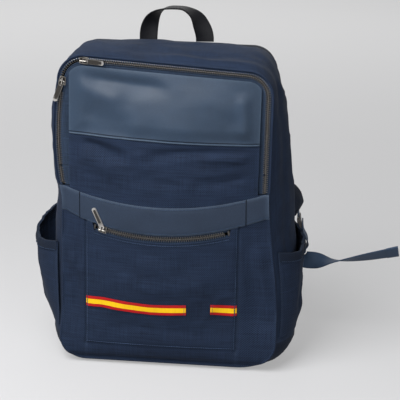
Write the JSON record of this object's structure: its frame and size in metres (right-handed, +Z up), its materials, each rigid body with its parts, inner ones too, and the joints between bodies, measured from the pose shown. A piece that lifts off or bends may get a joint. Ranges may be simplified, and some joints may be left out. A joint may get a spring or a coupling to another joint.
{
  "type": "backpack",
  "caption": "Soft day backpack with a zipped U-shaped front flap, zipped front pocket, open side pockets, haul handle and padded straps.",
  "frame": {"origin": "centre of the flat patch under the base, on the floor", "axes": "+Z up, the front faces -Y, +X is to the right seen from the front"},
  "size_m": [0.5134, 0.239, 0.4787],
  "materials": {
    "shell_fabric": "woven nylon, matt",
    "base_fabric": "coarse woven nylon",
    "padded_mesh": "open spacer mesh",
    "panel_leather": "soft-grained coated leathercloth, satin",
    "band_leather": "soft-grained coated leathercloth, satin",
    "lining": "smooth plain-weave lining",
    "ribbon": "ribbed three-stripe tape",
    "zip_tape": "herringbone tape",
    "gunmetal": "gunmetal plating, satin",
    "buckle": "moulded plastic",
    "webbing": "ribbed webbing"
  },
  "bodies": {
    "bag": {"side_panel_left": "shell_fabric", "side_panel_right": "shell_fabric", "top_panel": "shell_fabric", "front_yoke": "shell_fabric", "lower_front_left": "shell_fabric", "lower_front_right": "shell_fabric", "front_pocket_panel": "shell_fabric", "side_pocket_left": "shell_fabric", "side_pocket_right": "shell_fabric", "base_panel": "base_fabric", "base_patch": "base_fabric", "back_panel": "base_fabric", "strap_anchor_left": "base_fabric", "strap_anchor_right": "base_fabric", "side_pocket_hem_left": "base_fabric", "side_pocket_hem_right": "base_fabric", "back_pad": "padded_mesh", "shoulder_strap_left": "padded_mesh", "shoulder_strap_right": "padded_mesh", "front_band": "band_leather", "main_lining": "lining", "laptop_sleeve": "lining", "front_pocket_pouch": "lining", "ribbon": "ribbon", "main_zip_tape_body": "zip_tape", "main_zip_end_tapes": "zip_tape", "pocket_zip_tape_upper": "zip_tape", "pocket_zip_tape_lower": "zip_tape", "main_zip_teeth_body": "gunmetal", "main_zip_ends": "gunmetal", "pocket_zip_teeth_upper": "gunmetal", "pocket_zip_teeth_lower": "gunmetal", "pocket_zip_stops": "gunmetal", "strap_buckle_left": "buckle", "strap_buckle_right": "buckle", "buckle_loop_left": "webbing", "buckle_loop_right": "webbing", "lower_webbing_left": "webbing", "lower_webbing_right": "webbing", "webbing_tail_left": "webbing", "webbing_tail_right": "webbing"},
    "flap": {"flap_leather_panel": "panel_leather", "flap_fabric_panel": "shell_fabric", "flap_seam_welt": "panel_leather", "flap_lining": "lining", "main_zip_tape_flap": "zip_tape", "main_zip_teeth_flap": "gunmetal"},
    "main_slider_a": {"main_slider_a": "gunmetal"},
    "main_pull_a": {"main_pull_a": "gunmetal"},
    "main_slider_b": {"main_slider_b": "gunmetal"},
    "main_pull_b": {"main_pull_b": "gunmetal"},
    "pocket_slider": {"pocket_slider": "gunmetal"},
    "pocket_pull": {"pocket_pull_ring": "gunmetal", "pocket_pull_tab": "gunmetal"},
    "haul_handle": {"haul_handle": "webbing"}
  },
  "joints": [
    {"name": "flap_fold", "type": "hinge", "parent": "bag", "child": "flap", "pos_m": [0, -0.09037, 0.254], "axis": [1, 0, 0], "range_deg": [0, 140]},
    {"name": "main_slider_a_travel", "type": "slide", "parent": "bag", "child": "main_slider_a", "axis": [0.9985, 0, -0.0555], "range_m": [0, 0.206]},
    {"name": "main_pull_a_swing", "type": "hinge", "parent": "main_slider_a", "child": "main_pull_a", "pos_m": [-0.108, -0.06775, 0.425], "axis": [-0.0555, 0, -0.9985], "range_deg": [0, 150]},
    {"name": "main_slider_b_travel", "type": "hinge", "parent": "bag", "child": "main_slider_b", "pos_m": [0.28702, -0.0636, 0.3255], "axis": [0, -1, 0], "range_deg": [0, 17.3]},
    {"name": "main_pull_b_swing", "type": "hinge", "parent": "main_slider_b", "child": "main_pull_b", "pos_m": [-0.136, -0.06775, 0.397], "axis": [-0.9397, 0, 0.342], "range_deg": [0, 140]},
    {"name": "pocket_slider_travel", "type": "hinge", "parent": "bag", "child": "pocket_slider", "pos_m": [0, 0.11834, 0.38831], "axis": [0, -0.6919, 0.722], "range_deg": [0, 32.17]},
    {"name": "pocket_pull_swing", "type": "hinge", "parent": "pocket_slider", "child": "pocket_pull", "pos_m": [-0.08024, -0.08556, 0.19884], "axis": [0.9609, -0.2, -0.1917], "range_deg": [0, 160]},
    {"name": "haul_handle_flop", "type": "hinge", "parent": "bag", "child": "haul_handle", "pos_m": [0, 0.068, 0.4318], "axis": [1, 0, 0], "range_deg": [-75, 65]}
  ]
}
